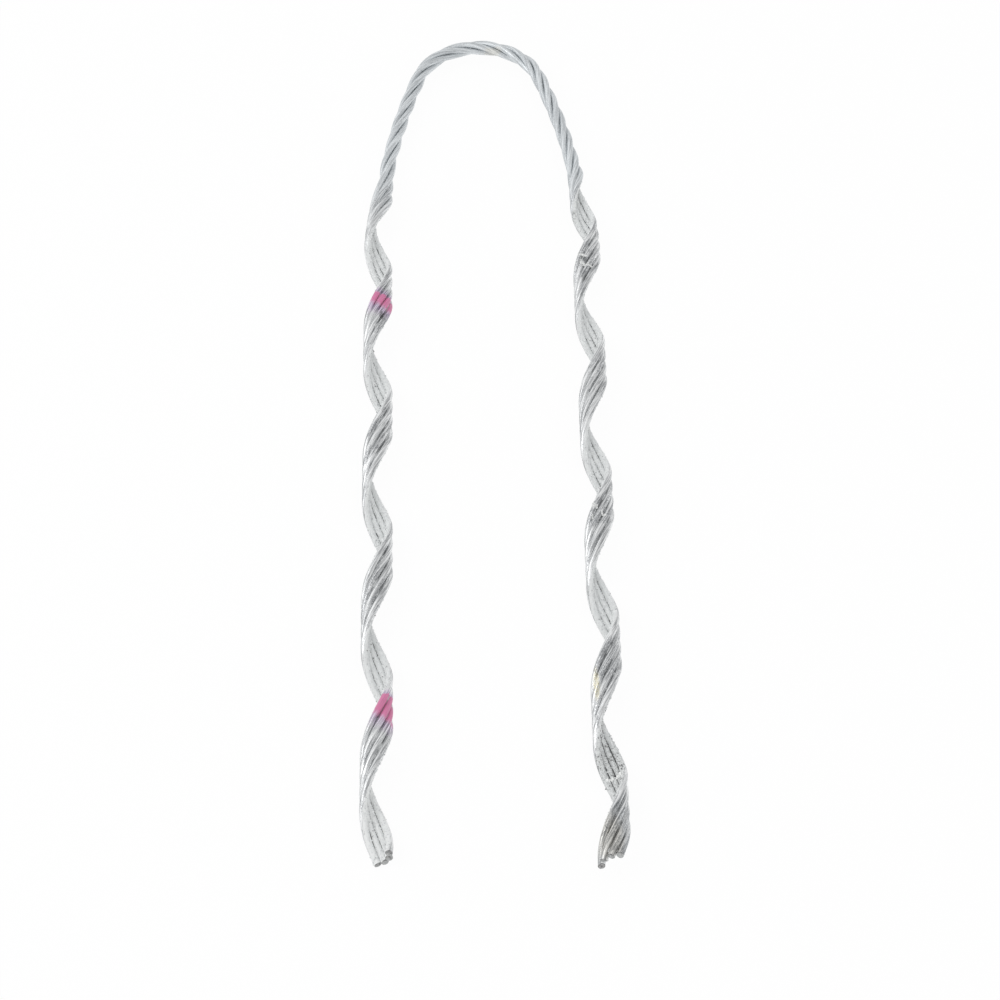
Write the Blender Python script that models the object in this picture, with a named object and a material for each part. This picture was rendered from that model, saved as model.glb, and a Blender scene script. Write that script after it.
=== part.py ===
"""Preformed dead end grip: four helically formed steel rods, laid side by side.

The grip lies flat with its length along Y and its eye at +Y. In the eye the rods are closed
into a rope. At each crossover they open into a leg: a ribbon of rods that winds round an
empty bore, which grips the strand. Each rod runs from the end of one leg, round the eye,
to the end of the other leg. A station is a length along the centre line, from the crown.
"""

import math

import bpy
from mathutils import Vector

MM = 0.001

# Rods
ROD_COUNT = 4
ROD_DIAMETER = 2.6 * MM
GLUE_LINE = 0.1 * MM

# Legs
LEG_BORE = 6.8 * MM
LEG_LAY = 67.5 * MM
LEG_LENGTH = 313.4 * MM
RIGHT_LEG_EXTRA = 4.2 * MM
END_STEP = 0.45 * MM
LEG_SPACING = 88.4 * MM
LEG_TOE_IN = math.radians(0.61)

# Eye
EYE_LAY = 52.7 * MM
EYE_LENGTH = 232.0 * MM
CROWN_RADIUS = 28.5 * MM
FLARE = math.radians(18.2)
CROSSOVER_LENGTH = 57.0 * MM

# Turn of the ribbon's middle about the centre line at the crown, from the outward side
CROWN_PHASE = math.radians(161.0)

# Modelling resolution
STEPS_PER_LAY = 14
LEAST_END_STEP = 0.2
TUBE_BEVEL_RESOLUTION = 2

ROD_RADIUS = ROD_DIAMETER / 2
ROD_PITCH = ROD_DIAMETER + GLUE_LINE
LEG_RADIUS = LEG_BORE / 2 + ROD_RADIUS
FULL_ROD_ANGLE = math.tau / ROD_COUNT
ROPE_END = (EYE_LENGTH - CROSSOVER_LENGTH) / 2
LEFT_LEG_END = EYE_LENGTH / 2 + LEG_LENGTH
RIGHT_LEG_END = LEFT_LEG_END + RIGHT_LEG_EXTRA
LINE_END = max(LEFT_LEG_END, RIGHT_LEG_END) + (ROD_COUNT - 1) * END_STEP


def crossing(rising, low, high):
    """Where a rising function passes zero."""
    for _ in range(50):
        middle = (low + high) / 2
        if rising(middle) < 0:
            low = middle
        else:
            high = middle
    return (low + high) / 2


def helix_distance(radius, lay, angle):
    """Least distance between two helices on one cylinder, an angle apart."""
    rise = lay / math.tau

    def past_nearest(slip):
        return rise**2 * slip - radius**2 * math.sin(angle - slip)

    slip = crossing(past_nearest, 0.0, angle)
    return math.hypot(2 * radius * math.sin((angle - slip) / 2), rise * slip)


def neighbour_angle(radius, lay):
    """Angle between neighbouring rods that lie side by side round a bore."""

    def spare(angle):
        return helix_distance(radius, lay, angle) - ROD_PITCH

    return crossing(spare, 0.0, FULL_ROD_ANGLE)


def rope_radius(lay):
    """Radius of the circle of rod centres where the rods close into a rope."""

    def spare(radius):
        return helix_distance(radius, lay, FULL_ROD_ANGLE) - ROD_PITCH

    return crossing(spare, ROD_RADIUS, ROD_COUNT * ROD_DIAMETER)


EYE_RADIUS = rope_radius(EYE_LAY)

# Half of the centre line: a crown arc, a shoulder arc of the opposite leg's side, a leg
HALF_CROWN = CROWN_RADIUS * (math.pi / 2 - FLARE)
SHOULDER_REACH = LEG_SPACING / 2 - CROWN_RADIUS * math.cos(FLARE)
SHOULDER_RADIUS = SHOULDER_REACH / (math.cos(LEG_TOE_IN) - math.cos(FLARE))
HALF_SHOULDER = SHOULDER_RADIUS * (FLARE + LEG_TOE_IN)


def along_arc(point, heading, radius, travel):
    """Point and heading after an arc that turns clockwise; heading 0 is along +X."""
    turned = heading + travel / radius
    x = point[0] + radius * (math.sin(turned) - math.sin(heading))
    y = point[1] + radius * (math.cos(turned) - math.cos(heading))
    return (x, y), turned


def half_line(reach):
    """Point on the right half of the centre line, below the crown, and the heading."""
    point = (0.0, 0.0)
    heading = 0.0
    for radius, length in ((CROWN_RADIUS, HALF_CROWN), (SHOULDER_RADIUS, HALF_SHOULDER)):
        travel = min(reach, length)
        point, heading = along_arc(point, heading, radius, travel)
        reach -= travel
    x = point[0] + reach * math.cos(heading)
    y = point[1] - reach * math.sin(heading)
    return (x, y), heading


# The grip is centred along Y between the top of its crown and the ends of its legs
LINE_DROP = -half_line(LINE_END)[0][1]
ROPE_RADIUS = EYE_RADIUS + ROD_RADIUS
CROWN_Y = (LINE_DROP + ROPE_RADIUS) / 2 - ROPE_RADIUS
REST_HEIGHT = LEG_RADIUS + ROD_RADIUS


def crossover_share(station):
    """How far a station is through the crossover, from 0 at the rope to 1 at the leg."""
    return min(max((abs(station) - ROPE_END) / CROSSOVER_LENGTH, 0.0), 1.0)


def rope_share(station):
    """One where the rods are closed as a rope, zero where they lie open as a leg."""
    share = crossover_share(station)
    return 1.0 - share**2 * (3.0 - 2.0 * share)


def rope_travel(station):
    """Length from the crown to a station, each piece of it counted by its rope share."""
    share = crossover_share(station)
    through = share - share**3 + share**4 / 2
    return min(abs(station), ROPE_END) + CROSSOVER_LENGTH * through


def turns(station):
    """Turns of the rods about the centre line between the crown and a station."""
    return abs(station) / LEG_LAY + rope_travel(station) * (1 / EYE_LAY - 1 / LEG_LAY)


def rod_point(index, station):
    """Point on the centre of one rod."""
    (x, y), heading = half_line(abs(station))
    side = math.copysign(1.0, station)
    rope = rope_share(station)
    lay = 1 / (rope / EYE_LAY + (1 - rope) / LEG_LAY)
    radius = rope * EYE_RADIUS + (1 - rope) * LEG_RADIUS
    place = index - (ROD_COUNT - 1) / 2
    phase = CROWN_PHASE + side * math.tau * turns(station)
    phase += place * neighbour_angle(radius, lay)
    outward = Vector((side * math.sin(heading), math.cos(heading), 0.0))
    centre = Vector((side * x, CROWN_Y + y, REST_HEIGHT))
    upward = Vector((0.0, 0.0, 1.0))
    return centre + radius * (math.cos(phase) * outward + math.sin(phase) * upward)


def half_stations(index, leg_end):
    """Stations of half a rod past the crown, a fixed number to each turn, then its end.

    In each leg every rod ends a step further out than the rod before it. The rods of a
    leg share all their stations but the last, so that their facets lie side by side.
    """
    steps = math.floor(turns(leg_end) * STEPS_PER_LAY - LEAST_END_STEP)

    def station_at(step):
        wanted = step / STEPS_PER_LAY
        return crossing(lambda station: turns(station) - wanted, 0.0, LINE_END)

    inner = [station_at(step) for step in range(1, steps + 1)]
    return inner + [leg_end + index * END_STEP]


def rod_points(index):
    """Points on the centre of one rod, from leg end to leg end."""
    left = [-station for station in reversed(half_stations(index, LEFT_LEG_END))]
    right = half_stations(index, RIGHT_LEG_END)
    return [rod_point(index, station) for station in left + [0.0] + right]


def galvanised_steel():
    """Bright zinc coat, weathered to a satin grey."""
    material = bpy.data.materials.new("galvanised_steel")
    material.use_nodes = True
    shader = material.node_tree.nodes["Principled BSDF"]
    shader.inputs["Base Color"].default_value = (0.56, 0.58, 0.58, 1.0)
    shader.inputs["Metallic"].default_value = 0.9
    shader.inputs["Roughness"].default_value = 0.38
    return material


def round_wire(name, points, material, collection):
    """A wire of the rods' diameter, as a curve with filled ends."""
    curve = bpy.data.curves.new(name, "CURVE")
    curve.dimensions = "3D"
    curve.bevel_depth = ROD_RADIUS
    curve.bevel_resolution = TUBE_BEVEL_RESOLUTION
    curve.use_fill_caps = True
    spline = curve.splines.new("POLY")
    spline.points.add(len(points) - 1)
    for spline_point, point in zip(spline.points, points):
        spline_point.co = (*point, 1.0)
    spline.use_smooth = True
    curve.materials.append(material)
    wire = bpy.data.objects.new(name, curve)
    collection.objects.link(wire)
    return wire


def main():
    """Build the grip."""
    for old in list(bpy.data.objects):
        bpy.data.objects.remove(old, do_unlink=True)
    collection = bpy.data.collections.new("preformed_dead_end_grip")
    bpy.context.scene.collection.children.link(collection)
    grip = bpy.data.objects.new("preformed_dead_end_grip", None)
    collection.objects.link(grip)
    for index in range(ROD_COUNT):
        rod = round_wire(
            f"rod_{index + 1}", rod_points(index), galvanised_steel(), collection
        )
        rod.parent = grip


main()
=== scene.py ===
"""Finish, light and camera for the preformed dead end grip.

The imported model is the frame. Each rod gets a finely swept stand-in on the same centre line,
with its zinc coat, sawn ends and the bonded lining of its bore side. Adhesive, grit and drips
of glue are pieces of their own on the rods. Lengths are in millimetres until a mesh is made.

A station is a length along the centre line from the crown, below zero in the left leg. A
place counts the rods from 0. A turn goes round a rod, from its outward side to the next rod.
"""

import math

import bpy
import numpy as np
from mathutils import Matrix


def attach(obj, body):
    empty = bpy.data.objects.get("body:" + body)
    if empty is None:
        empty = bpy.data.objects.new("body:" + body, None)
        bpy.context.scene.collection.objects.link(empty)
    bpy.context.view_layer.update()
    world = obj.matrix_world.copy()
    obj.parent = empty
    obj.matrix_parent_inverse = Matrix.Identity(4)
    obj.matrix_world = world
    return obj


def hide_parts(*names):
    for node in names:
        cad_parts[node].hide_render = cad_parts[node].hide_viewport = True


MM = 0.001

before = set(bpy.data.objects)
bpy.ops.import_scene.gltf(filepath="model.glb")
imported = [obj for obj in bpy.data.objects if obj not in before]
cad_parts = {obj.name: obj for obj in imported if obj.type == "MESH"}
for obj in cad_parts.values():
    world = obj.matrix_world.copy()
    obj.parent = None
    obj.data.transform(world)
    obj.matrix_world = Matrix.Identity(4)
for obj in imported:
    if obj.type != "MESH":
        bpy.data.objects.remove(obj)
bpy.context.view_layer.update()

# Rods and centre line, the same values as in the part
ROD_COUNT = 4
ROD_DIAMETER = 2.6
GLUE_LINE = 0.1
LEG_BORE = 6.8
LEG_LAY = 67.5
LEG_LENGTH = 313.4
RIGHT_LEG_EXTRA = 4.2
END_STEP = 0.45
LEG_SPACING = 88.4
LEG_TOE_IN = math.radians(0.61)
EYE_LAY = 52.7
EYE_LENGTH = 232.0
CROWN_RADIUS = 28.5
FLARE = math.radians(18.2)
CROSSOVER_LENGTH = 57.0
CROWN_PHASE = math.radians(161.0)

ROD_RADIUS = ROD_DIAMETER / 2
ROD_PITCH = ROD_DIAMETER + GLUE_LINE
LEG_RADIUS = LEG_BORE / 2 + ROD_RADIUS
ROPE_END = (EYE_LENGTH - CROSSOVER_LENGTH) / 2
LEFT_LEG_END = EYE_LENGTH / 2 + LEG_LENGTH
RIGHT_LEG_END = LEFT_LEG_END + RIGHT_LEG_EXTRA
LINE_END = max(LEFT_LEG_END, RIGHT_LEG_END) + (ROD_COUNT - 1) * END_STEP
HALF_CROWN = CROWN_RADIUS * (math.pi / 2 - FLARE)
SHOULDER_REACH = LEG_SPACING / 2 - CROWN_RADIUS * math.cos(FLARE)
SHOULDER_RADIUS = SHOULDER_REACH / (math.cos(LEG_TOE_IN) - math.cos(FLARE))
HALF_SHOULDER = SHOULDER_RADIUS * (FLARE + LEG_TOE_IN)

# Rods in detail
RINGS_PER_TURN = 52
ROD_SIDES = 26
ROD_TURN = np.linspace(0, math.tau, ROD_SIDES, endpoint=False)
COAT_SWELL = 0.006
CREASE = math.radians(32)
GROOVE_FADE = 0.38

# Lining of the bore side: the share of the crossover where it starts and where it is full,
# how far round a rod its edge lies, and the film's thickness, with a fillet at each groove
LINING_START = 0.30
LINING_FULL = LINING_START + 0.12
LINED_FROM = ROPE_END + LINING_START * CROSSOVER_LENGTH
LINING_EDGE = (0.22, 0.40)
LINING_WRAP = 0.42
FILM_LEAST = 0.03
FILM_SWELL = 0.05
FILLET_TURN = math.radians(129)
FILLET_SPREAD = math.radians(15)
FILLET_LEAST = 0.02
FILLET_SWELL = 0.09

# Sawn ends: the rings of a cut face, and how much of a slanted cut the rod's last rings take
SAW_BEVEL = 0.12
CAP_RINGS = (0.95, 0.86, 0.62, 0.34)
END_PULLS = (1.0, 0.5, 0.15)
CAP_SINK = 0.03
CAP_HIGHEST = 0.02
SAW_LEAN = 0.05
SAW_ROUGHNESS = 0.02
BURR = 0.03

# Each cut end, by place and side: how far its top leans back, its whole shift and its shine
CUTS = {
    (0, -1): (0.0, 0.0, 0.35),
    (1, -1): (0.0, 0.0, 0.35),
    (2, -1): (0.0, 0.0, 0.60),
    (3, -1): (0.0, 0.0, 0.20),
    (0, 1): (0.7, 0.0, 0.75),
    (1, 1): (0.7, 0.0, 0.75),
    (2, 1): (0.5, 0.0, 0.55),
    (3, 1): (1.9, -0.9, 0.05),
}

# Adhesive in the grooves: its depth below the rods' middles on the bore side and above them
# on the outside, the painted shade of the outside, and the worn stretch of the right leg
ADHESIVE_RINGS_PER_TURN = 60
ADHESIVE_SHORT = 0.9
ADHESIVE_WAIST = 0.08
ADHESIVE_OVERLAP = 0.03
ADHESIVE_WORN = (368, 384)
BORE_DEPTH, BORE_SWELL, BORE_WORN = 0.56, 0.16, 0.14
BORE_HOLLOW = 0.10
BACK_DEPTH, BACK_SWELL = 0.22, 0.50
BACK_DARK, BACK_CLEARING = 0.75, 0.65

# Grit: how far round a rod it lies, the size of a grain and its spread, how high the grain's
# middle stands in its own sizes, and where on the right leg grains turn dull, then pale again
GRAINS_PER_LEG = 15000
GRIT_SHORT = 0.5
GRIT_TURNS = (math.radians(70), math.radians(290))
GRAIN_SIZE = 0.15
GRAIN_SPREAD = 0.42
GRAIN_LIMITS = (0.07, 0.36)
GRAIN_RISE = 0.35
GRIT_WORN = (368, 382)
GRIT_WORN_END = (398, 408)

# Glue patches: steps along and across, the least height of the glue's top and underside
# above the rods' middles, and how far it sinks into them
PATCH_STEPS, PATCH_WIDTH_STEPS = 56, 15
GLUE_LEAST = 0.78
GLUE_UNDERSIDE = 0.70
GLUE_SINK = 0.12

# Seeds of what is random; a place, a side or both are added
LINING_SEED, FILM_SEED, COAT_SEED = 71, 171, 271
FILLET_SEED, RIPPLE_SEED = 371, 381
CUT_SEED, STRIP_SEED, GRIT_SEED, CLUMP_SEED = 900, 400, 40, 600

# How far along a neighbouring rod its nearest point is looked for
GROOVE_SLIPS = np.linspace(-4.0, 4.0, 17)
STRIP_SLIPS = np.linspace(-3.0, 3.0, 61)


# Centre line


def crossing(rising, low, high):
    """Where a rising function passes zero."""
    for _ in range(50):
        middle = (low + high) / 2
        if rising(middle) < 0:
            low = middle
        else:
            high = middle
    return (low + high) / 2


def helix_distance(radius, lay, angle):
    """Least distance between two helices on one cylinder, an angle apart."""
    rise = lay / math.tau
    slip = crossing(lambda t: rise**2 * t - radius**2 * math.sin(angle - t), 0.0, angle)
    return math.hypot(2 * radius * math.sin((angle - slip) / 2), rise * slip)


def neighbour_angle(radius, lay):
    """Angle between neighbouring rods that lie side by side round a bore."""
    return crossing(lambda a: helix_distance(radius, lay, a) - ROD_PITCH, 0.0, math.tau / 4)


EYE_RADIUS = crossing(
    lambda radius: helix_distance(radius, EYE_LAY, math.tau / ROD_COUNT) - ROD_PITCH,
    ROD_RADIUS,
    ROD_COUNT * ROD_DIAMETER,
)


def axis_line(stations):
    """Points of the centre line below the crown, its heading, and the side of the grip."""
    reach = np.abs(stations)
    side = np.where(stations < 0, -1.0, 1.0)
    crown = np.minimum(reach, HALF_CROWN) / CROWN_RADIUS
    heading = crown + np.clip(reach - HALF_CROWN, 0, HALF_SHOULDER) / SHOULDER_RADIUS
    straight = np.maximum(reach - HALF_CROWN - HALF_SHOULDER, 0)
    x = CROWN_RADIUS * np.sin(crown) + SHOULDER_RADIUS * (np.sin(heading) - np.sin(crown))
    y = CROWN_RADIUS * (np.cos(crown) - 1)
    y = y + SHOULDER_RADIUS * (np.cos(heading) - np.cos(crown))
    x = x + straight * np.cos(heading)
    y = y - straight * np.sin(heading)
    return x * side, y, heading, side


LINE_DROP = -axis_line(np.array([LINE_END]))[1][0]
CROWN_Y = (LINE_DROP + EYE_RADIUS + ROD_RADIUS) / 2 - (EYE_RADIUS + ROD_RADIUS)
REST_HEIGHT = LEG_RADIUS + ROD_RADIUS


def crossover_share(stations):
    """How far a station is through the crossover, from 0 at the rope to 1 at the leg."""
    return np.clip((np.abs(stations) - ROPE_END) / CROSSOVER_LENGTH, 0, 1)


def rope_share(share):
    """One where the rods are closed as a rope, zero where they lie open as a leg."""
    return 1 - share**2 * (3 - 2 * share)


def turns(stations):
    """Turns of the rods about the centre line between the crown and a station."""
    share = crossover_share(stations)
    rope = np.minimum(np.abs(stations), ROPE_END)
    rope = rope + CROSSOVER_LENGTH * (share - share**3 + share**4 / 2)
    return np.abs(stations) / LEG_LAY + rope * (1 / EYE_LAY - 1 / LEG_LAY)


SHARES = np.linspace(0, 1, 41)
RADII = rope_share(SHARES) * EYE_RADIUS + (1 - rope_share(SHARES)) * LEG_RADIUS
LAYS = 1 / (rope_share(SHARES) / EYE_LAY + (1 - rope_share(SHARES)) / LEG_LAY)
ANGLES = np.array([neighbour_angle(r, lay) for r, lay in zip(RADII, LAYS)])


def ribbon_point(place, stations, rise=0.0):
    """Points on the ribbon of rods, and the way out there. rise lifts them off the rods."""
    stations = np.asarray(stations, float)
    x, y, heading, side = axis_line(stations)
    share = crossover_share(stations)
    radius = rope_share(share) * EYE_RADIUS + (1 - rope_share(share)) * LEG_RADIUS + rise
    angle = CROWN_PHASE + side * math.tau * turns(stations)
    angle = angle + (place - (ROD_COUNT - 1) / 2) * np.interp(share, SHARES, ANGLES)
    normal = np.stack([side * np.sin(heading), np.cos(heading), 0 * heading], 1)
    upward = np.array([0.0, 0.0, 1.0])
    outward = np.cos(angle)[:, None] * normal + np.sin(angle)[:, None] * upward
    centre = np.stack([x, CROWN_Y + y, 0 * x + REST_HEIGHT], 1)
    return centre + radius[:, None] * outward, outward


def rod_end(place, side):
    """Station where a rod is sawn off, in the left leg (side -1) or the right one."""
    return side * ((LEFT_LEG_END if side < 0 else RIGHT_LEG_END) + place * END_STEP)


def unit(vectors):
    return vectors / np.linalg.norm(vectors, axis=-1, keepdims=True)


def rod_frame(place, stations):
    """Centre of a rod with its run, its outward side and the side of the next rod."""
    centre, outward = ribbon_point(place, stations)
    run = unit(
        ribbon_point(place, stations + 0.05)[0] - ribbon_point(place, stations - 0.05)[0]
    )
    outward = unit(outward - np.sum(outward * run, 1, keepdims=True) * run)
    return centre, run, outward, np.cross(run, outward)


def radial(turn, outward, across):
    """The way out of a rod at a turn from its outward side."""
    return np.cos(turn)[..., None] * outward + np.sin(turn)[..., None] * across


def even_stations(start, end, rings_per_turn):
    """Stations from start to end, a fixed number to each turn of the rods."""
    fine = np.linspace(start, end, 6001)
    wound = np.cumsum(np.append(0.0, np.abs(np.diff(np.sign(fine) * turns(fine)))))
    count = max(2, int(round(wound[-1] * rings_per_turn)) + 1)
    return np.interp(np.linspace(0, wound[-1], count), wound, fine)


# Small tools


def smooth(values, low, high):
    """Zero below low, one above high, with a soft ramp between."""
    share = np.clip((values - low) / (high - low), 0, 1)
    return share * share * (3 - 2 * share)


def waviness(seed, along, turn, shortest, longest, count=14):
    """An even random swell over a rod, about -1 to 1, from waves along and round it."""
    chance = np.random.default_rng(seed)
    total = np.zeros(np.broadcast(along, turn).shape)
    for _ in range(count):
        length = math.exp(chance.uniform(math.log(shortest), math.log(longest)))
        around = chance.integers(0, 4)
        total += np.cos(math.tau * along / length + around * turn + chance.uniform(0, 9))
    return total / math.sqrt(count)


def loop_faces(loops):
    """Quads between rows of point numbers, each row a ring."""
    after = np.roll(loops, -1, axis=1)
    quads = np.stack([loops[:-1], after[:-1], after[1:], loops[1:]], -1)
    return quads.reshape(-1, 4).tolist()


def closed_tube(rings, sides):
    """Faces of a tube of rings, closed at both ends, wound so that they face out."""
    loops = np.arange(rings * sides).reshape(rings, sides)
    return loop_faces(loops) + [loops[0, ::-1].tolist(), loops[-1].tolist()]


def joined(shapes):
    """Several shapes, each of points and faces, as one."""
    all_points, all_faces, count = [], [], 0
    for points, faces in shapes:
        all_faces += [[corner + count for corner in face] for face in faces]
        all_points.append(points)
        count += len(points)
    return np.concatenate(all_points), all_faces


def make_piece(name, points, faces, finishes, fields=None, flat=False):
    """A mesh piece from points in millimetres, with the fields that its finish reads."""
    mesh = bpy.data.meshes.new(name)
    mesh.from_pydata((points * MM).tolist(), [], faces)
    for finish in finishes:
        mesh.materials.append(finish)
    mesh.polygons.foreach_set("use_smooth", np.full(len(mesh.polygons), not flat))
    for field, values in (fields or {}).items():
        values = np.asarray(values, np.float32)
        kind, key = ("FLOAT_VECTOR", "vector") if values.ndim == 2 else ("FLOAT", "value")
        mesh.attributes.new(field, kind, "POINT").data.foreach_set(key, values.ravel())
    mesh.update()
    made = bpy.data.objects.new(name, mesh)
    bpy.context.scene.collection.objects.link(made)
    return made


# Finishes


class Level:
    """A number that varies over a surface: one output of a node, with arithmetic."""

    def __init__(self, finish, socket):
        self.finish = finish
        self.socket = socket

    def maths(self, operation, first, second):
        return self.finish.node("Math", {"operation": operation}, {0: first, 1: second})

    def __add__(self, other):
        return self.maths("ADD", self, other)

    def __radd__(self, other):
        return self.maths("ADD", other, self)

    def __sub__(self, other):
        return self.maths("SUBTRACT", self, other)

    def __rsub__(self, other):
        return self.maths("SUBTRACT", other, self)

    def __mul__(self, other):
        return self.maths("MULTIPLY", self, other)

    def __rmul__(self, other):
        return self.maths("MULTIPLY", other, self)

    def at_least(self, other):
        return self.maths("MAXIMUM", self, other)

    def at_most(self, other):
        return self.maths("MINIMUM", self, other)


class Finish:
    """The nodes of one material, or of the sky."""

    def __init__(self, owner):
        owner.use_nodes = True
        owner.node_tree.nodes.clear()
        self.owner = owner

    def node(self, kind, settings=None, sockets=None, take=0):
        """Adds a node: its settings first, then its sockets' values or links."""
        made = self.owner.node_tree.nodes.new("ShaderNode" + kind)
        for setting, value in (settings or {}).items():
            if setting == "stops":
                # A ramp has two stops of its own, which come first
                for stop, (position, colour) in enumerate(value):
                    ramp = made.color_ramp.elements
                    element = ramp[stop] if stop < 2 else ramp.new(position)
                    element.position = position
                    element.color = (*colour, 1.0)
            else:
                setattr(made, setting, value)
        for socket, value in (sockets or {}).items():
            if isinstance(value, Level):
                self.owner.node_tree.links.new(value.socket, made.inputs[socket])
            elif isinstance(value, tuple) and made.inputs[socket].type == "RGBA":
                made.inputs[socket].default_value = (*value, 1.0)
            else:
                made.inputs[socket].default_value = value
        return Level(self, made.outputs[take]) if made.outputs else made

    def mix(self, share, first, second):
        """Colour between first and second."""
        sockets = {0: share, 6: first, 7: second}
        return self.node("Mix", {"data_type": "RGBA"}, sockets, take=2)

    def tint(self, share, first, second):
        """First colour, multiplied by the second where share is one."""
        sockets = {0: share, 6: first, 7: second}
        settings = {"data_type": "RGBA", "blend_type": "MULTIPLY"}
        return self.node("Mix", settings, sockets, take=2)

    def field(self, name, take="Fac"):
        """A value or vector kept on the mesh."""
        return self.node("Attribute", {"attribute_name": name}, take=take)

    def stretched(self, vector, scale):
        return self.node("VectorMath", {"operation": "MULTIPLY"}, {0: vector, 1: scale})

    def part(self, vector, axis):
        return self.node("SeparateXYZ", None, {"Vector": vector}, take=axis)

    def place(self):
        """Where a point of the piece lies, in millimetres."""
        return self.stretched(self.node("TexCoord", take="Object"), (1000.0, 1000.0, 1000.0))

    def grain(self, vector, scale, detail=3.0, roughness=0.55):
        """Fine noise from 0 to 1. scale is one number, or a number for each axis."""
        if isinstance(scale, tuple):
            vector, scale = self.stretched(vector, scale), 1.0
        return self.node(
            "TexNoise", None,
            {"Vector": vector, "Scale": scale, "Detail": detail, "Roughness": roughness},
            take="Fac",
        )

    def ramp(self, value, low, high, first=0.0, last=1.0):
        """Soft ramp of a value from first to last."""
        return self.node(
            "MapRange", {"interpolation_type": "SMOOTHSTEP"},
            {"Value": value, "From Min": low, "From Max": high, "To Min": first, "To Max": last},
        )

    def bump(self, height, depth, under=None):
        """Fine relief, depth in millimetres."""
        sockets = {"Height": height, "Distance": depth * MM}
        if under is not None:
            sockets["Normal"] = under
        return self.node("Bump", None, sockets)

    def seen(self):
        """One for what is looked at, also in a reflection, and zero for what gives light."""
        kinds = ("Is Camera Ray", "Is Glossy Ray", "Is Transmission Ray")
        return sum(self.node("LightPath", take=kind) for kind in kinds).at_most(1.0)

    def surface(self, **sockets):
        """The finished surface; underscores stand for the spaces in its socket names."""
        named = {name.replace("_", " "): value for name, value in sockets.items()}
        shader = self.node("BsdfPrincipled", None, named)
        self.node("OutputMaterial", None, {"Surface": shader})
        return self.owner


# Colours of the zinc and of what lies over it; a tint multiplies what it covers
DRAWN_DARK, DRAWN_BRIGHT = (0.35, 0.36, 0.37), (0.93, 0.94, 0.945)
SPANGLE_ZINC = (0.70, 0.715, 0.72)
BLOOM_ZINC = (0.74, 0.755, 0.76)
EYE_ZINC = (0.84, 0.855, 0.865)
OXIDE = (0.76, 0.775, 0.785)
PEPPER_TINT = (0.44, 0.45, 0.465)
WEATHERED_TINT = (0.76, 0.775, 0.780)
SMUDGE_TINT = (0.34, 0.35, 0.35)
# Darkens the grooves: dirt, and painted shade
GROOVE_DIRT_AND_SHADE_TINT = (0.30, 0.31, 0.32)
EYE_TINT = (0.90, 0.925, 0.94)
FROST_TINT = (0.70, 0.71, 0.72)
YELLOW_TINT = (1.0, 0.93, 0.70)
RUST_TINT = (1.0, 0.92, 0.80)
PURPLE_TINT = (0.84, 0.70, 0.88)
PINK_PAINT = (0.63, 0.155, 0.325)

# Film of adhesive on the bore side
FILM_DARK, FILM_PALE = (0.71, 0.73, 0.73), (0.90, 0.915, 0.915)
FILM_PAINTED_LIGHT = (0.92, 0.93, 0.925)
FILM_SPECK_TINT = (0.5, 0.5, 0.5)
FILM_DULL_TINT = (0.50, 0.51, 0.50)
FILM_PIT_TINT = (0.36, 0.37, 0.37)

# Oval spots: their middle in x and y, and their reach in x and y
WEATHERED_END = (42.0, -202.0, 13.0, 21.0)
YELLOW_STAIN = (38.0, -139.5, 1.4, 8.5)
DULL_FILM = (42.5, -170.0, 11.0, 12.0)
PIT_RIM, PIT_MIDDLE = (39.8, 99.8, 1.4, 1.8), (39.9, 99.6, 0.8, 1.0)

# The same, each with its strength first
PEPPERED = (
    (1.0, 41.8, -130.0, 7.0, 11.0),
    (0.6, 42.5, -62.0, 6.0, 9.0),
    (0.8, 43.5, 69.0, 7.0, 11.0),
    (0.6, 43.0, -196.0, 9.0, 15.0),
)
SMUDGES = (
    (1.0, -42.0, 38.8, 1.2, 2.4),
    (1.0, 42.8, 68.3, 1.2, 1.5),
    (0.7, 42.4, 59.2, 1.6, 4.0),
)
RUST = ((0.45, 39.5, -202.0, 6.0, 12.0), (0.5, 6.0, 203.0, 6.0, 2.0))

# Paint marks on the left leg. For the edge nearer the eye and the edge nearer the leg end of
# each: how much it slants, and between which y the paint and then its haze fade in or out
PAINT_MARKS = (
    ((0.30, (37.9, 38.8), (38.5, 43.0)), (0.65, (15.0, 18.8), (8.5, 16.0))),
    ((0.0, (-142.5, -141.7), (-142.0, -139.0)), (0.47, (-172.6, -168.6), (-178.5, -170.5))),
)


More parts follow.
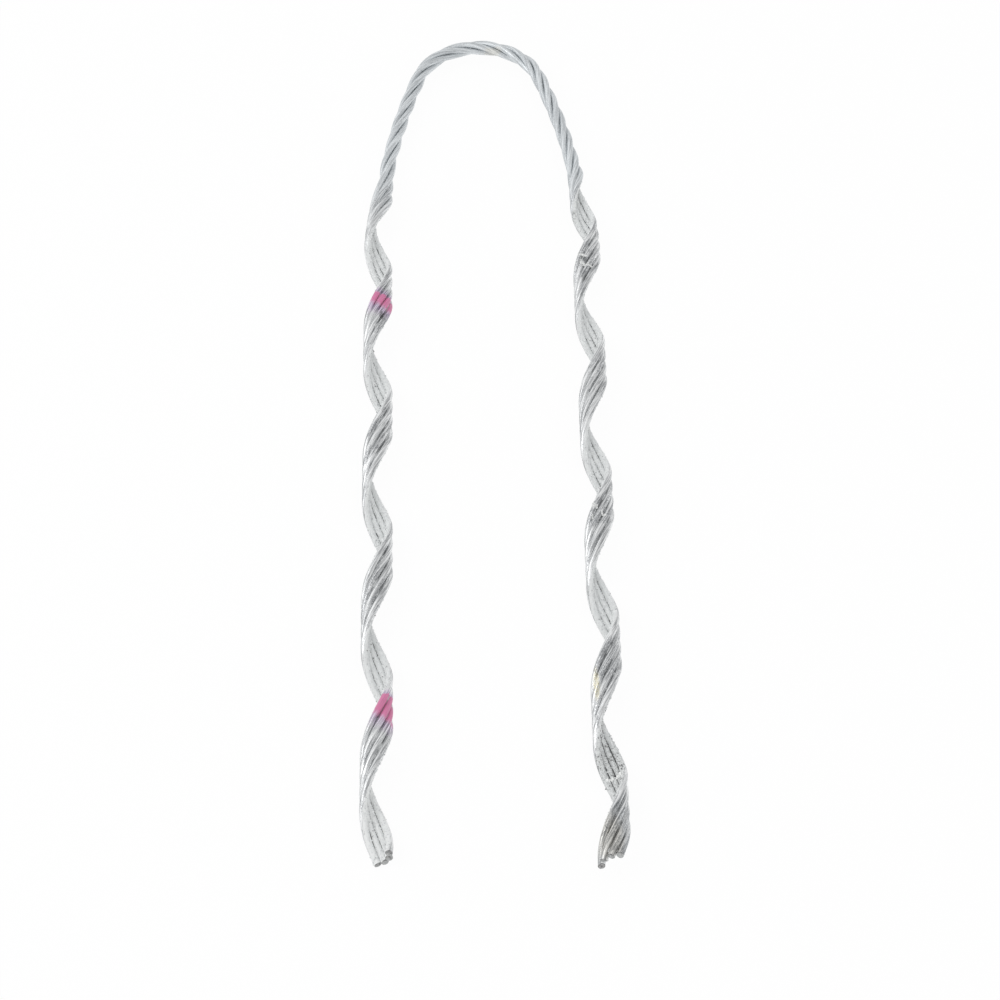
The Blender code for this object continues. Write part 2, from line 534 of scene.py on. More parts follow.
class ZincFinish(Finish):
    """Hot-dip zinc on drawn rod with its lining, paint marks, stains, dirt, painted shade and
    highlight.

    The wire field is the rod rolled out straight: two axes across it, then its length.
    """

    def __init__(self):
        super().__init__(bpy.data.materials.new("bright_zinc"))
        wire = self.wire = self.field("wire", "Vector")
        self.lining = self.field("lining")
        self.groove = self.field("groove")
        self.drawn = self.grain(wire, (1.7, 1.7, 0.09), 5.0, 0.66)
        self.flow = self.grain(wire, (0.5, 0.5, 0.05))
        self.fine = self.grain(wire, 9.0, 3.0, 0.7)
        self.flecks = self.grain(wire, (2.9, 2.9, 1.7), 3.0, 0.7)
        self.bloom = self.ramp(self.grain(wire, (0.9, 0.9, 0.16), 4.0), 0.50, 0.68)
        spangle = self.node(
            "TexVoronoi", {"feature": "F1"},
            {"Vector": self.stretched(wire, (0.9, 0.9, 0.45)), "Scale": 1.0, "Randomness": 0.9},
            take="Color",
        )
        self.facet = self.node("SeparateColor", None, {"Color": spangle}, take="Red")

        place = self.place()
        wobble = self.grain(place, 0.8) - 0.5
        self.x = self.part(place, "X")
        self.y = self.part(place, "Y") + wobble * 3.0
        self.z = self.part(place, "Z")
        self.left_leg = self.ramp(self.x, -1.0, 1.0, 1.0, 0.0)
        self.eye = self.ramp(self.y, 85.0, 130.0)
        self.oxide = self.ramp(self.groove, 0.25, 0.85)

        # The left-facing side of each rod is kept lighter: a painted highlight from the light on
        # the left
        beside = self.part(wire, "Y") * self.ramp(self.x, -1.0, 1.0, -1.0, 1.0)
        self.lit_side = self.ramp(beside, 0.1, 0.9)
        patches = self.grain(wire, (0.42, 0.42, 0.10), 2.0)
        ragged = patches + (self.flecks - 0.5) * 0.30 + self.spots(PEPPERED) * 0.22
        pepper = self.ramp(self.flecks, 0.45, 0.54) * self.ramp(ragged, 0.54, 0.62)
        # Fewer dark flecks on the left-facing side, as a painted highlight
        self.pepper = pepper * (1 - self.lit_side * 0.70) * (1 - self.eye * 0.70)

    def spot(self, x, y, reach_x, reach_y):
        """A soft oval spot, one in its middle."""
        across = (self.x - x) * (1 / reach_x)
        along = (self.y - y) * (1 / reach_y)
        return self.ramp(across * across + along * along, 0.15, 1.0, 1.0, 0.0)

    def spots(self, table):
        return sum(self.spot(*oval) * strength for strength, *oval in table)

    def zinc_colour(self):
        """The zinc coat with its specks, stains, dirt, painted groove shade and painted highlight.
        """
        eye = self.eye
        colour = self.mix(self.ramp(self.drawn, 0.39, 0.60), DRAWN_DARK, DRAWN_BRIGHT)
        colour = self.mix(self.facet * 0.16, colour, SPANGLE_ZINC)
        colour = self.mix(self.bloom * 0.35, colour, BLOOM_ZINC)
        colour = self.mix(eye * 0.45, colour, EYE_ZINC)
        colour = self.mix(self.oxide * (0.50 + eye * 0.35), colour, OXIDE)
        colour = self.tint(self.pepper * 0.85, colour, PEPPER_TINT)
        weathered = self.spot(*WEATHERED_END)
        # The weathered tint fades on the left-facing side, as a painted highlight
        away_from_light = 1 - self.lit_side * 0.8
        colour = self.tint(weathered * away_from_light * 0.70, colour, WEATHERED_TINT)
        colour = self.tint(self.spots(SMUDGES) * 0.8, colour, SMUDGE_TINT)
        # Darker in the grooves between rods: partly dirt, partly painted shade
        dirt_and_groove_shade = self.ramp(self.groove, 0.35, 0.95) * self.ramp(self.flow, 0.46, 0.60)
        dirt_and_groove_shade = dirt_and_groove_shade * (0.50 + weathered * 0.45) * (1 - eye * 0.5)
        colour = self.tint(dirt_and_groove_shade, colour, GROOVE_DIRT_AND_SHADE_TINT)
        colour = self.tint(eye, colour, EYE_TINT)
        frosted = eye * self.ramp(self.flecks, 0.46, 0.60)
        colour = self.tint(frosted * 0.40, colour, FROST_TINT)
        stain = self.spot(*YELLOW_STAIN) * self.ramp(self.flecks, 0.36, 0.56)
        colour = self.tint(stain, colour, YELLOW_TINT)
        return self.tint(self.spots(RUST), colour, RUST_TINT)

    def film_colour(self):
        """The film of adhesive that lines the bore side."""
        mottle = self.grain(self.wire, 2.2, 4.0, 0.65)
        colour = self.mix(mottle, FILM_DARK, FILM_PALE)
        specks = self.ramp(self.grain(self.wire, 5.5, 2.0), 0.60, 0.72)
        colour = self.tint(specks * 0.40, colour, FILM_SPECK_TINT)
        # Lighter film towards the left leg's end: painted light where the bore lies in shade
        painted_light_film = self.left_leg * self.ramp(self.y, -145.0, -130.0, 1.0, 0.0)
        colour = self.mix(painted_light_film * 0.55, colour, FILM_PAINTED_LIGHT)
        dulled = self.spot(*DULL_FILM) * self.ramp(self.flecks, 0.48, 0.58)
        colour = self.tint(dulled * 0.65, colour, FILM_DULL_TINT)
        pit = self.spot(*PIT_RIM) * (1 - self.spot(*PIT_MIDDLE))
        return self.tint(pit * 0.75, colour, FILM_PIT_TINT)

    def paint_and_haze(self):
        """Cover of the paint marks on top of the left leg, and of the haze round them."""
        paint, haze = [], []
        for (slant, paint_fade, haze_fade), (end_slant, paint_end, haze_end) in PAINT_MARKS:
            start = self.y + self.x * slant
            end = self.y + self.x * end_slant
            paint.append(self.ramp(start, *paint_fade, 1.0, 0.0) * self.ramp(end, *paint_end))
            haze.append(self.ramp(start, *haze_fade, 1.0, 0.0) * self.ramp(end, *haze_end))
        facing = self.ramp(self.part(self.wire, "X"), -0.55, -0.1)
        upper = self.left_leg * self.ramp(self.z, 5.2, 6.6) * facing
        crest = 1 - self.ramp(self.groove, 0.45, 0.90) * 0.7
        worn = 0.66 + self.ramp(self.drawn * 0.6 + self.fine * 0.4, 0.38, 0.54) * 0.28
        return sum(paint) * upper * worn * crest, sum(haze) * upper

    def made(self):
        """The whole finish, put together."""
        lining, bloom, eye = self.lining, self.bloom, self.eye
        paint, haze = self.paint_and_haze()
        zinc = self.tint(haze, self.zinc_colour(), PURPLE_TINT)
        colour = self.mix(lining, zinc, self.film_colour())
        bare = (1 - lining) * (1 - paint)
        metal = bare * (0.94 - bloom * 0.20 - self.oxide * 0.50) * (1 - eye * 0.30)
        rough = 0.15 + self.drawn * 0.16 + bloom * 0.14 + self.facet * 0.06
        rough = rough + self.pepper * 0.10 + lining * 0.35 + eye * 0.10
        relief = self.drawn * 0.7 + self.fine * 0.45 + self.flow * 0.8 + self.flecks * 0.5
        gritty = self.grain(self.wire, 4.5, 4.0, 0.7) * lining
        return self.surface(
            Base_Color=self.mix(paint, colour, PINK_PAINT),
            Metallic=metal,
            Roughness=rough + paint * 0.10,
            Normal=self.bump(gritty, 0.20, self.bump(relief, 0.09)),
        )


def sawn_steel():
    """The cut face of a rod: grey steel, fine saw lines, brighter where it sheared, painted shade
    on top.
    """
    finish = Finish(bpy.data.materials.new("sawn_steel"))
    place = finish.place()
    lines = finish.grain(place, (0.9, 0.9, 9.0))
    patches = finish.grain(place, 1.3)
    colour = finish.mix(
        finish.ramp(patches, 0.38, 0.62), (0.11, 0.11, 0.112), (0.40, 0.40, 0.395)
    )
    # The sheared field is brighter low on a face and carries a painted shade at its top
    sheared = finish.field("sheared") * finish.ramp(patches, 0.3, 0.6, 0.6, 1.0)
    return finish.surface(
        Base_Color=finish.mix(sheared, colour, (0.50, 0.515, 0.51)),
        Metallic=0.5,
        Roughness=0.42 + patches * 0.2,
        Normal=finish.bump(lines, 0.03),
    )


def cured_adhesive():
    """Grey adhesive between the rods, dull and full of fine grit, with painted shade where it is
    deep.
    """
    finish = Finish(bpy.data.materials.new("cured_adhesive"))
    wire = finish.field("wire", "Vector")
    mottle = finish.grain(wire, 1.8, 4.0, 0.65)
    speckle = finish.grain(wire, 7.0, 2.0)
    colour = finish.mix(mottle, (0.50, 0.515, 0.52), (0.76, 0.775, 0.78))
    colour = finish.tint(finish.ramp(speckle, 0.6, 0.7) * 0.5, colour, (0.4, 0.4, 0.4))
    return finish.surface(
        # The depth field darkens the adhesive as painted shade in the grooves
        Base_Color=finish.tint(finish.field("depth"), colour, (0.16, 0.16, 0.16)),
        Roughness=0.55 + mottle * 0.3,
        Normal=finish.bump(speckle, 0.12),
    )


def lining_grit():
    """Grains of the gripping grit, from white through grey to a few dark ones."""
    finish = Finish(bpy.data.materials.new("lining_grit"))
    stops = [
        (0.0, (0.10, 0.10, 0.10)),
        (1.0, (0.94, 0.95, 0.95)),
        (0.08, (0.28, 0.28, 0.28)),
        (0.20, (0.54, 0.555, 0.56)),
        (0.55, (0.78, 0.795, 0.80)),
    ]
    shade = finish.node("ValToRGB", {"stops": stops}, {"Fac": finish.field("shade")})
    cloud = finish.grain(finish.place(), 3.0, 2.0)
    return finish.surface(
        Base_Color=finish.tint(cloud * 0.25, shade, (0.80, 0.81, 0.81)),
        Roughness=0.42 + cloud * 0.3,
    )


def clear_glue():
    """Dried drips and threads of glue, milky over the zinc."""
    finish = Finish(bpy.data.materials.new("clear_glue"))
    cloud = finish.grain(finish.place(), 1.4, 4.0, 0.65)
    milk = finish.field("milk")
    colour = finish.mix(cloud, (0.62, 0.635, 0.63), (0.90, 0.91, 0.90))
    return finish.surface(
        Base_Color=finish.mix(milk, colour, (0.95, 0.96, 0.95)),
        Alpha=finish.ramp(cloud + milk * 0.35, 0.30, 0.60, 0.45, 0.97),
        Roughness=0.24 + cloud * 0.2,
        Normal=finish.bump(cloud, 0.1),
    )


zinc_finish = ZincFinish().made()
sawn_finish = sawn_steel()
adhesive_finish = cured_adhesive()
grit_finish = lining_grit()
glue_finish = clear_glue()


# Rods


def lining_cover(place, stations, turn):
    """How fully the bore side of a rod is lined. It wraps the ribbon's free edges."""
    free = 0 * turn
    if place == 0:
        free = np.clip(-np.sin(turn), 0, 1)
    if place == ROD_COUNT - 1:
        free = np.clip(np.sin(turn), 0, 1)
    ragged = 0.10 * waviness(LINING_SEED + place, stations, turn, 1.2, 9.0)
    share = crossover_share(stations) + 0.25 * ragged
    round_rod = smooth(-np.cos(turn) + LINING_WRAP * free + ragged, *LINING_EDGE)
    return round_rod * smooth(share, LINING_START, LINING_FULL)


def film_height(place, stations, turn):
    """Thickness of the adhesive film that carries the grit, thicker beside each groove."""
    swell = 0.5 + 0.5 * waviness(FILM_SEED + place, stations, turn, 1.5, 12.0)
    height = FILM_LEAST + FILM_SWELL * np.clip(swell, 0, 1)
    for beside in (1, -1):
        if not 0 <= place + beside < ROD_COUNT:
            continue
        off = np.abs(np.angle(np.exp(1j * (turn - beside * FILLET_TURN))))
        fillet = np.exp(-((off / FILLET_SPREAD) ** 2))
        flow = waviness(FILLET_SEED + place + beside, stations, 0.0, 4.0, 40.0)
        flow = flow + 0.5 * waviness(RIPPLE_SEED + place + beside, stations, 0.0, 0.8, 4.0)
        height = height + fillet * (FILLET_LEAST + FILLET_SWELL * smooth(flow, -0.2, 1.4))
    return height


def rod_surface(place, stations, turn):
    """Radius of a rod's skin at each station and turn, and how fully it is lined there."""
    lined = lining_cover(place, stations, turn)
    coat = COAT_SWELL * waviness(COAT_SEED + place, stations, turn, 6.0, 40.0) - COAT_SWELL
    return ROD_RADIUS + coat + lined * film_height(place, stations, turn), lined


def nearness(place, points, stations):
    """How close each point of a rod's skin is to another rod, one at contact."""
    gap = np.full(points.shape[:2], np.inf)
    for other in range(ROD_COUNT):
        if other == place:
            continue
        for slip in GROOVE_SLIPS:
            beside = np.clip(stations + slip, rod_end(other, -1), rod_end(other, 1))
            line = ribbon_point(other, beside)[0]
            gap = np.minimum(gap, np.linalg.norm(points - line[:, None], axis=2) - ROD_RADIUS)
    return np.exp(-np.clip(gap, 0, None) / GROOVE_FADE)


def cut_back(place, end, height):
    """How far the rim of a rod's end is cut back, by its height from -1 to 1 on top."""
    lean, shift, _ = CUTS[place, end]
    return lean * (0.5 + 0.5 * height) + shift


def cut_face(place, end, chance):
    """Points of a cut face from its rim in to its middle, their wire field, shine and painted
    shade.
    """
    centre, run, outward, across = rod_frame(place, np.array([rod_end(place, end)]))
    lean = chance.uniform(-SAW_LEAN, SAW_LEAN, 2)
    burr = 0.5 + 0.5 * np.cos(ROD_TURN - chance.uniform(0, math.tau))
    flat = radial(ROD_TURN, outward, across)
    lip = flat[:, 2]
    back = cut_back(place, end, lip)
    cosine, sine = np.cos(ROD_TURN), np.sin(ROD_TURN)
    own_shine = CUTS[place, end][2]
    points, wires, shine_and_burr_shade = [], [], []
    for share in CAP_RINGS:
        radius = ROD_RADIUS * share
        uneven = (lean[0] * cosine + lean[1] * sine) * share
        height = uneven - CAP_SINK + SAW_ROUGHNESS * chance.standard_normal(ROD_SIDES) * share
        if share == CAP_RINGS[0]:
            height = height + BURR * burr
        height = np.minimum(height, CAP_HIGHEST) - back.mean() - (back - back.mean()) * share
        points.append(centre + radius * flat + end * height[:, None] * run)
        wires.append(np.stack([radius * cosine, radius * sine, 0 * sine], 1))
        # Brighter low on the face where it sheared, and darker on top as painted shade under the
        # burr
        shine = own_shine + 0.75 * smooth(-lip * share, 0.15, 0.75)
        shine_and_burr_shade.append(np.clip(shine * (1 - smooth(lip * share, 0.35, 0.75)), 0, 1))
    points.append(centre - end * (CAP_SINK + back.mean()) * run)
    wires.append(np.zeros((1, 3)))
    shine_and_burr_shade.append([own_shine])
    return np.concatenate(points), np.concatenate(wires), np.concatenate(shine_and_burr_shade)


def cut_faces(rim, first, end):
    """Faces of a cut face, from the rod's last ring to the cut's own points."""
    inner = first + np.arange(len(CAP_RINGS) * ROD_SIDES).reshape(-1, ROD_SIDES)
    faces = loop_faces(np.vstack([rim, inner]))
    last = inner[-1].tolist()
    middle = last[-1] + 1
    faces += [[near, after, middle] for near, after in zip(last, last[1:] + last[:1])]
    return [face[::end] for face in faces]


def make_rod(place):
    """One rod from leg end to leg end, with both sawn ends."""
    stations = even_stations(
        rod_end(place, -1) + SAW_BEVEL, rod_end(place, 1) - SAW_BEVEL, RINGS_PER_TURN
    )
    rings = len(stations)
    centre, run, outward, across = rod_frame(place, stations)
    lengths = np.append(0.0, np.cumsum(np.linalg.norm(np.diff(centre, axis=0), axis=1)))
    skin, lined = rod_surface(place, stations[:, None], ROD_TURN[None, :])
    out = radial(ROD_TURN, outward[:, None], across[:, None])
    points = centre[:, None] + skin[..., None] * out
    for end, ring in ((-1, 0), (1, rings - 1)):
        reach = cut_back(place, end, out[ring, :, 2])
        for step, pull in enumerate(END_PULLS):
            row = ring - end * step
            points[row] -= end * pull * reach[:, None] * run[row]
    groove = nearness(place, points, stations)
    wire = np.stack(
        np.broadcast_arrays(
            np.cos(ROD_TURN) * ROD_RADIUS,
            np.sin(ROD_TURN) * ROD_RADIUS,
            lengths[:, None] + 1000.0 * place,
        ),
        2,
    )

    chance = np.random.default_rng(CUT_SEED + place)
    left, right = cut_face(place, -1, chance), cut_face(place, 1, chance)
    loops = np.arange(skin.size).reshape(skin.shape)
    faces = loop_faces(loops)
    skin_faces = len(faces)
    faces += cut_faces(loops[0], skin.size, -1)
    faces += cut_faces(loops[-1], skin.size + len(left[0]), 1)
    cut_points = len(left[0]) + len(right[0])
    rod = make_piece(
        f"zinc_rod_{place + 1}",
        np.concatenate([points.reshape(-1, 3), left[0], right[0]]),
        faces,
        [zinc_finish, sawn_finish],
        {
            "wire": np.concatenate([wire.reshape(-1, 3), left[1], right[1]]),
            "lining": np.append(lined, np.zeros(cut_points)),
            "groove": np.append(groove, np.zeros(cut_points)),
            # Shine of the cut faces, with painted shade at their tops
            "sheared": np.concatenate([np.zeros(skin.size), left[2], right[2]]),
        },
    )
    is_cut = np.arange(len(faces)) >= skin_faces
    rod.data.polygons.foreach_set("material_index", is_cut.astype(np.int32))
    rod.data.set_sharp_from_angle(angle=CREASE)
    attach(rod, "root")
    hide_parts(f"rod_{place + 1}")


for rod_place in range(ROD_COUNT):
    make_rod(rod_place)


# Adhesive and grit


def groove_strip(place, side, stations):
    """Adhesive between a rod and the next: points, faces, wire field and depth."""
    near, run, _, _ = rod_frame(place, stations)
    lines = np.stack([ribbon_point(place + 1, stations + slip)[0] for slip in STRIP_SLIPS])
    nearest = np.argmin(np.linalg.norm(lines - near[None], axis=2), axis=0)
    far = lines[nearest, np.arange(len(stations))]
    middle = (near + far) / 2
    across = unit(far - near)
    outward = np.cross(across, run)
    centre_line = ribbon_point(place + 0.5, stations, -LEG_RADIUS)[0]
    outward = outward * np.sign(np.sum(outward * (middle - centre_line), 1))[:, None]
    half = np.linalg.norm(far - near, axis=1) / 2

    seed = STRIP_SEED + 10 * place + side
    fill = waviness(seed, stations, 0.0, 3.0, 30.0)
    fill = fill + 0.5 * waviness(seed + 5, stations, 0.0, 0.8, 3.0)
    full = waviness(seed + 7, stations, 0.0, 3.0, 25.0)
    worn = smooth(stations, *ADHESIVE_WORN)
    pale = smooth(waviness(seed + 9, stations, 0.0, 2.0, 12.0), 1.0, 1.5) * (1 - worn)
    bore = BORE_DEPTH + BORE_SWELL * smooth(fill, -0.8, 1.0) + BORE_WORN * worn
    back = BACK_DEPTH + BACK_SWELL * smooth(full, -0.6, 1.4)
    # The outside is darkened as painted shade, less where the adhesive stands fuller
    dusk = BACK_DARK - BACK_CLEARING * smooth(full, -0.4, 1.2)

    def half_width(depth):
        return half - np.sqrt(ROD_RADIUS**2 - depth**2) + ADHESIVE_OVERLAP

    # Round the strip: how far across, how far outward, and how dark its painted shade is
    none = np.zeros(len(stations))
    profile = [
        (-half_width(back), back, dusk),
        (half_width(back), back, dusk),
        (none + ADHESIVE_WAIST, none, none + 1),
        (half_width(bore), -bore, 1 - 0.85 * pale),
        (none, BORE_HOLLOW - bore, 1 - 0.80 * pale),
        (-half_width(bore), -bore, 1 - 0.85 * pale),
        (none - ADHESIVE_WAIST, none, none + 1),
    ]
    sides = len(profile)
    ring = np.stack([middle + a[:, None] * across + o[:, None] * outward for a, o, _ in profile], 1)
    wire = np.stack(
        np.broadcast_arrays(np.arange(float(sides))[None], 3.0 * place, stations[:, None]), 2
    )
    faces = [face[::side] for face in closed_tube(len(stations), sides)]
    depth = np.stack([dark for _, _, dark in profile], 1)
    return ring.reshape(-1, 3), faces, wire.reshape(-1, 3), depth.ravel()


def make_adhesive(side, side_name):
    """The adhesive in the grooves between the rods of one leg."""
    end = abs(rod_end(0, side)) - ADHESIVE_SHORT
    stations = side * even_stations(LINED_FROM, end, ADHESIVE_RINGS_PER_TURN)
    strips = [groove_strip(place, side, stations) for place in range(ROD_COUNT - 1)]
    points, faces = joined([strip[:2] for strip in strips])
    fields = {
        "wire": np.concatenate([strip[2] for strip in strips]),
        "depth": np.concatenate([strip[3] for strip in strips]),
    }
    adhesive = make_piece(f"adhesive_{side_name}", points, faces, [adhesive_finish], fields)
    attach(adhesive, "root")


OCTAHEDRON = np.array(
    [[1, 0, 0], [-1, 0, 0], [0, 1, 0], [0, -1, 0], [0, 0, 1], [0, 0, -1]], float
)
OCTAHEDRON_FACES = np.array(
    [[0, 2, 4], [2, 1, 4], [1, 3, 4], [3, 0, 4], [2, 0, 5], [1, 2, 5], [3, 1, 5], [0, 3, 5]]
)


def tumbled(chance, count):
    """Random turns of the grains, as matrices."""
    w, x, y, z = unit(chance.normal(size=(count, 4))).T
    rows = [
        [1 - 2 * (y * y + z * z), 2 * (x * y - w * z), 2 * (x * z + w * y)],
        [2 * (x * y + w * z), 1 - 2 * (x * x + z * z), 2 * (y * z - w * x)],
        [2 * (x * z - w * y), 2 * (y * z + w * x), 1 - 2 * (x * x + y * y)],
    ]
    return np.moveaxis(np.array(rows), 2, 0)


def rod_grains(place, side, chance):
    """Grains on the bore side of one rod of a leg: their corners and their shades."""
    wanted = GRAINS_PER_LEG // ROD_COUNT
    tries = 3 * wanted
    end = abs(rod_end(place, side)) - GRIT_SHORT
    stations = side * chance.uniform(LINED_FROM, end, tries)
    turn = chance.uniform(*GRIT_TURNS, tries)
    skin, lined = rod_surface(place, stations, turn)
    clump = 0.5 + 0.5 * waviness(CLUMP_SEED + place, stations, turn * 2.0, 0.9, 5.0)
    keep = chance.uniform(0, 1, tries) < lined * (0.35 + 0.65 * np.clip(clump, 0, 1))
    pick = np.flatnonzero(keep)[:wanted]
    stations, turn, skin, count = stations[pick], turn[pick], skin[pick], len(pick)

    size = np.exp(chance.normal(math.log(GRAIN_SIZE), GRAIN_SPREAD, count))
    size = np.clip(size, *GRAIN_LIMITS)
    axes = tumbled(chance, count)
    shape = OCTAHEDRON[None] * chance.uniform(0.65, 1.35, (count, 6, 1))
    shape = np.einsum("nij,nkj->nki", axes, shape) * size[:, None, None]
    centre, _, outward, across = rod_frame(place, stations)
    seat = centre + (skin + GRAIN_RISE * size)[:, None] * radial(turn, outward, across)

    reach = stations * side
    dull = smooth(reach, *GRIT_WORN) * (1 - smooth(reach, *GRIT_WORN_END)) * (side > 0)
    shade = chance.uniform(0, 1, count) ** (0.55 + 1.8 * dull)
    return (seat[:, None] + shape).reshape(-1, 3), np.repeat(shade, 6)


def make_grit(side, side_name):
    """Grains of grit bonded to the bore side of one leg."""
    chance = np.random.default_rng(GRIT_SEED + side)
    grains = [rod_grains(place, side, chance) for place in range(ROD_COUNT)]
    points = np.concatenate([corners for corners, _ in grains])
    first = np.arange(0, len(points), 6)[:, None, None]
    faces = (OCTAHEDRON_FACES[None] + first).reshape(-1, 3).tolist()
    fields = {"shade": np.concatenate([shades for _, shades in grains])}
    grit = make_piece(f"grit_{side_name}", points, faces, [grit_finish], fields, flat=True)
    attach(grit, "root")


for leg_side, leg_name in ((-1, "left"), (1, "right")):
    make_adhesive(leg_side, leg_name)
    make_grit(leg_side, leg_name)


# Drips of glue


def glue_patch(first, last, width, thick, seed, outer=True):
    """A ragged film of glue over the rods, from (place, station) to (place, station)."""
    share = np.linspace(0, 1, PATCH_STEPS)[:, None]
    over = np.linspace(-1, 1, PATCH_WIDTH_STEPS)[None, :]
    ragged = 1 + 0.30 * waviness(seed, share * 20, 0.0, 2.5, 12.0, 8)
    taper = np.sqrt(np.clip(np.minimum(share, 1 - share) * 7, 0.02, 1))
    half = width / 2 * np.clip(ragged, 0.45, 1.6) * taper
    drift = 0.25 * waviness(seed + 3, share * 20, 0.0, 5.0, 20.0, 8)
    place = first[0] + (last[0] - first[0]) * share + 0 * over
    station = first[1] + (last[1] - first[1]) * share + drift + over * half
    nearest = np.round(np.clip(place, 0, ROD_COUNT - 1))
    off = (place - nearest) * ROD_PITCH
    crest = np.sqrt(np.clip(ROD_RADIUS**2 - off**2, 0, None))
    lumps = 1 + 0.35 * waviness(seed + 6, place * 6.0, station, 1.0, 4.0, 8)
    cover = thick * np.clip(lumps, 0.4, 1.8) * np.sqrt(1 - over**2) * taper
    filled = np.maximum(crest, GLUE_LEAST) + cover
    under = np.maximum(crest, GLUE_UNDERSIDE) - GLUE_SINK

    # Each ring goes over the patch and back under it
    level = np.concatenate([filled, under[:, ::-1]], 1)
    places = np.concatenate([place, place[:, ::-1]], 1)
    stations = np.concatenate([station, station[:, ::-1]], 1)
    rise = level.ravel() if outer else -level.ravel()
    points = ribbon_point(places.ravel(), stations.ravel(), rise)[0]
    return points, closed_tube(*level.shape)


def glue_ring(place, station, turn, reach, thick, sides=10):
    """A raised ring of glue on the side of one rod, left by a burst bubble."""
    around = np.linspace(0, math.tau, 40)
    stations = station + reach * np.cos(around)
    turns_round = turn + (0.55 * reach / ROD_RADIUS) * np.sin(around)
    centre, _, outward, across = rod_frame(place, stations)
    skin = rod_surface(place, stations, turns_round)[0]
    path = centre + (skin + 0.3 * thick)[:, None] * radial(turns_round, outward, across)
    run = unit(np.gradient(path, axis=0))
    first = unit(np.cross(run, np.array([0.0, 0.0, 1.0])))
    thread_turn = np.linspace(0, math.tau, sides, endpoint=False)
    ring = radial(thread_turn, first[:, None], np.cross(run, first)[:, None])
    points = path[:, None] + thick * ring
    return points.reshape(-1, 3), closed_tube(len(path), sides)


def facing_out(shape):
    """A closed shape with its faces turned to face out."""
    points, faces = shape
    corners = points[np.array([face[:3] for face in faces])] - points[0]
    inside_out = np.linalg.det(corners).sum() < 0
    return points, [face[::-1] for face in faces] if inside_out else faces


def make_glue(name, drips, milk=0.0):
    """Drips as one piece; milk is how white they dried."""
    points, faces = joined([facing_out(drip) for drip in drips])
    glue = make_piece(name, points, faces, [glue_finish], {"milk": np.full(len(points), milk)})
    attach(glue, "root")


# A patch has two tips, a width, a thickness and a seed. A ring has a place, a station, a
# turn and a reach, and the thickness of its thread
make_glue(
    "glue_drips_upper",
    [
        glue_patch((3.35, 152.3), (1.75, 155.0), 1.0, 0.16, 31),
        glue_patch((2.45, 156.8), (1.25, 160.2), 1.2, 0.18, 32),
        glue_patch((1.35, 159.6), (0.30, 160.5), 0.9, 0.16, 33),
        glue_patch((2.65, 153.5), (2.45, 157.2), 1.0, 0.14, 36),
        glue_ring(0, 123.9, math.radians(256), 1.5, 0.17),
        glue_ring(0, 126.6, math.radians(268), 0.9, 0.15),
    ],
)
make_glue(
    "glue_drips_middle",
    [
        glue_patch((3.45, 283.6), (2.45, 286.2), 1.5, 0.18, 34),
        glue_patch((1.95, 287.8), (1.05, 290.2), 1.2, 0.16, 37),
        glue_patch((2.75, 289.2), (2.35, 290.8), 0.9, 0.16, 38),
    ],
)
make_glue(
    "glue_drips_lower",
    [
        glue_patch((-0.35, 399.9), (1.35, 399.6), 1.2, 0.42, 35, outer=False),
        glue_patch((1.25, 399.4), (3.40, 398.6), 1.2, 0.42, 39, outer=False),
        glue_patch((3.05, 398.2), (3.45, 400.6), 0.9, 0.40, 40, outer=False),
    ],
    milk=0.9,
)
make_glue(
    "glue_drip_left",
    [glue_patch((2.65, -182.6), (2.55, -187.8), 0.9, 0.16, 41)],
)


# Floor, light and camera

# The floor's half width, its shade for light, and how nearly it is plain white to the eye
FLOOR_REACH = 1600
FLOOR_SHADE = (0.88, 0.88, 0.88)
FLOOR_GLOW = 0.95

# The sky's strength as a light, and the strength that reflections find on the right
SKY_LIGHT = 0.95
SKY_RIGHT = 0.70
WHITE = (1.0, 1.0, 1.0)

CAMERA_PLACE = (-5.46, CROWN_Y - 747.48, 665.89)
CAMERA_TILT = math.radians(36.48)
CAMERA_PAN = math.radians(-1.203)
CAMERA_LENS = 76.06


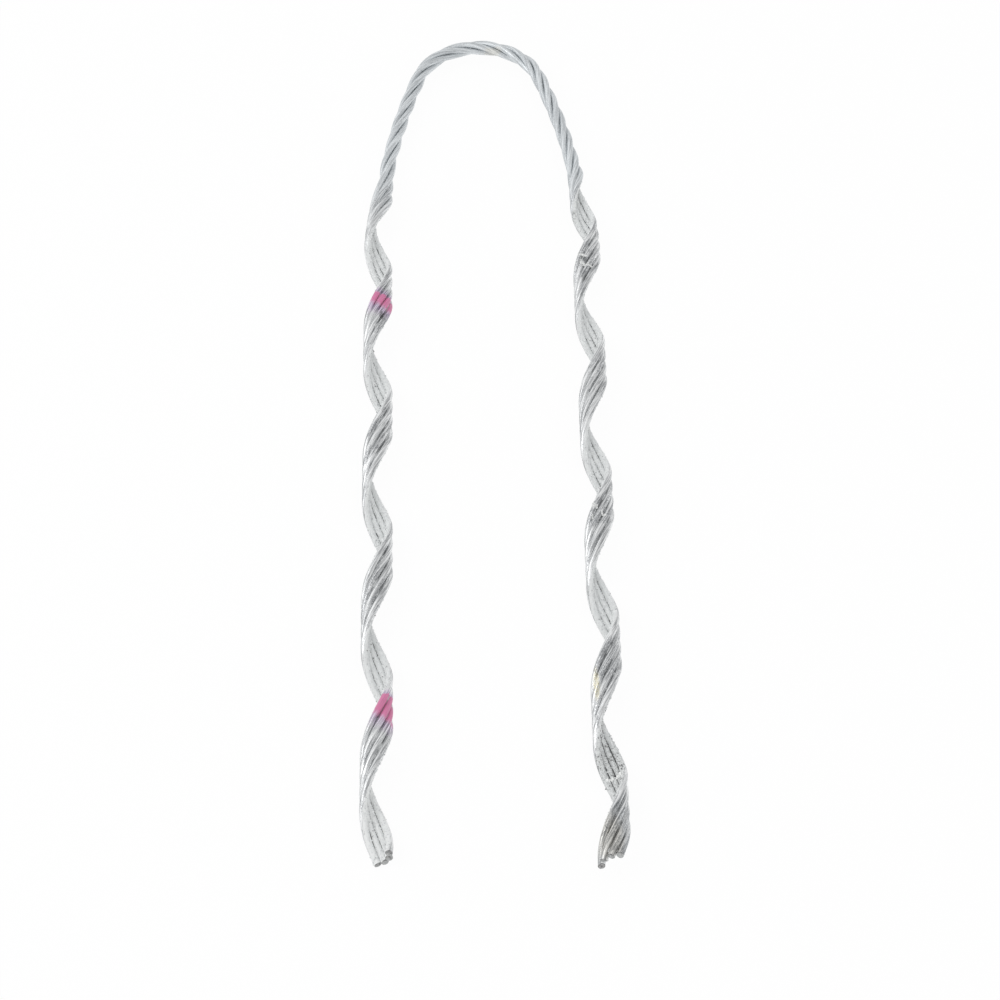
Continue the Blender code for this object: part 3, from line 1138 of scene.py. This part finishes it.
def white_floor():
    """Pale floor: white to the eye and in reflections, with a faint shadow."""
    finish = Finish(bpy.data.materials.new("white_floor"))
    matt = finish.node("BsdfDiffuse", None, {"Color": FLOOR_SHADE})
    glow = finish.node("Emission", None, {"Color": WHITE, "Strength": 1.0})
    share = finish.seen() * FLOOR_GLOW
    lifted = finish.node("MixShader", None, {0: share, 1: matt, 2: glow})
    finish.node("OutputMaterial", None, {"Surface": lifted})
    return finish.owner


def studio_sky():
    """Even light all round. In reflections it is a little darker on the right."""
    sky = Finish(bpy.data.worlds.new("studio"))
    soft_light = sky.node("Background", None, {"Color": WHITE, "Strength": SKY_LIGHT})
    rightward = sky.part(sky.node("TexCoord", take="Generated"), "X")
    level = sky.ramp(rightward, -0.40, 0.20, 1.0, SKY_RIGHT)
    level = level.at_least(sky.node("LightPath", take="Is Camera Ray"))
    seen_light = sky.node("Background", None, {"Color": WHITE, "Strength": level})
    both = sky.node("MixShader", None, {0: sky.seen(), 1: soft_light, 2: seen_light})
    sky.node("OutputWorld", None, {"Surface": both})
    return sky.owner


def soft_lamp(name, place, size, power):
    """A square soft box aimed at the grip."""
    lamp = bpy.data.lights.new(name, "AREA")
    lamp.shape = "SQUARE"
    lamp.size = size * MM
    lamp.energy = power
    held = bpy.data.objects.new(name, lamp)
    bpy.context.scene.collection.objects.link(held)
    held.location = [value * MM for value in place]
    held.rotation_euler = (-held.location).to_track_quat("-Z", "Y").to_euler()


corners = ((-1, -1, 0), (1, -1, 0), (1, 1, 0), (-1, 1, 0))
floor = make_piece("floor", np.array(corners) * FLOOR_REACH, [[0, 1, 2, 3]], [white_floor()])

bpy.context.scene.world = studio_sky()
soft_lamp("key_lamp", place=(-780, -100, 800), size=550, power=1.6)

camera_data = bpy.data.cameras.new("camera")
camera_data.sensor_width = 36.0
camera_data.lens = CAMERA_LENS
camera_data.clip_start = 0.02
camera_data.clip_end = 20.0
camera = bpy.data.objects.new("camera", camera_data)
bpy.context.scene.collection.objects.link(camera)
camera.location = [value * MM for value in CAMERA_PLACE]
camera.rotation_euler = (CAMERA_TILT, 0.0, CAMERA_PAN)
bpy.context.scene.camera = camera

bpy.context.scene.view_settings.view_transform = "Standard"
